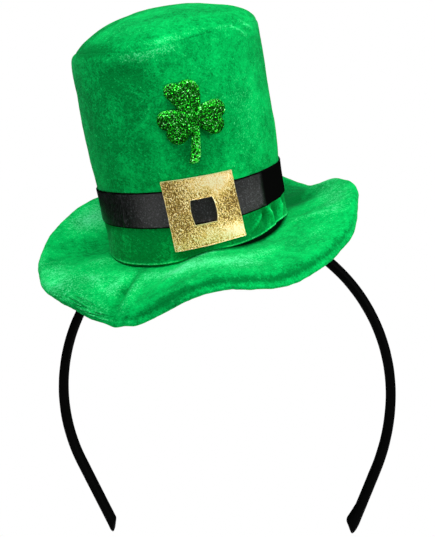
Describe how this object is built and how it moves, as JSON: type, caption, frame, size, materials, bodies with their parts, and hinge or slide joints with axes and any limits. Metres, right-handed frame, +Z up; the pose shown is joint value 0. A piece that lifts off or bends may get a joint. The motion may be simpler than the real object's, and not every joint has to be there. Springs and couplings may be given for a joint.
{
  "type": "mini top hat headband",
  "caption": "Small padded plush top hat with satin ribbon, square buckle and shamrock badge, set leaning on a cloth-covered arched headband that grips the wearer's head.",
  "frame": {"origin": "the highest point of the headband's inner face, where it sits on the top of the head", "axes": "+Z up through the wearer's head, -Y the way the wearer looks, +X towards the wearer's left ear"},
  "size_m": [0.1549, 0.141, 0.2344],
  "materials": {
    "green_plush": "short-pile plush velour, matt with a soft sheen",
    "black_satin": "smooth satin ribbon with soft highlights",
    "gilt_leathercloth": "gilt, finely crinkled and metallic",
    "glitter_foam": "dense green glitter on puffed foam",
    "black_cover": "matt black cloth drawn over the band"
  },
  "bodies": {
    "root": {"brim": "green_plush", "crown_wall": "green_plush", "crown_top": "green_plush", "hat_band": "black_satin", "buckle": "gilt_leathercloth", "shamrock": "glitter_foam", "head_band": "black_cover"}
  },
  "joints": []
}
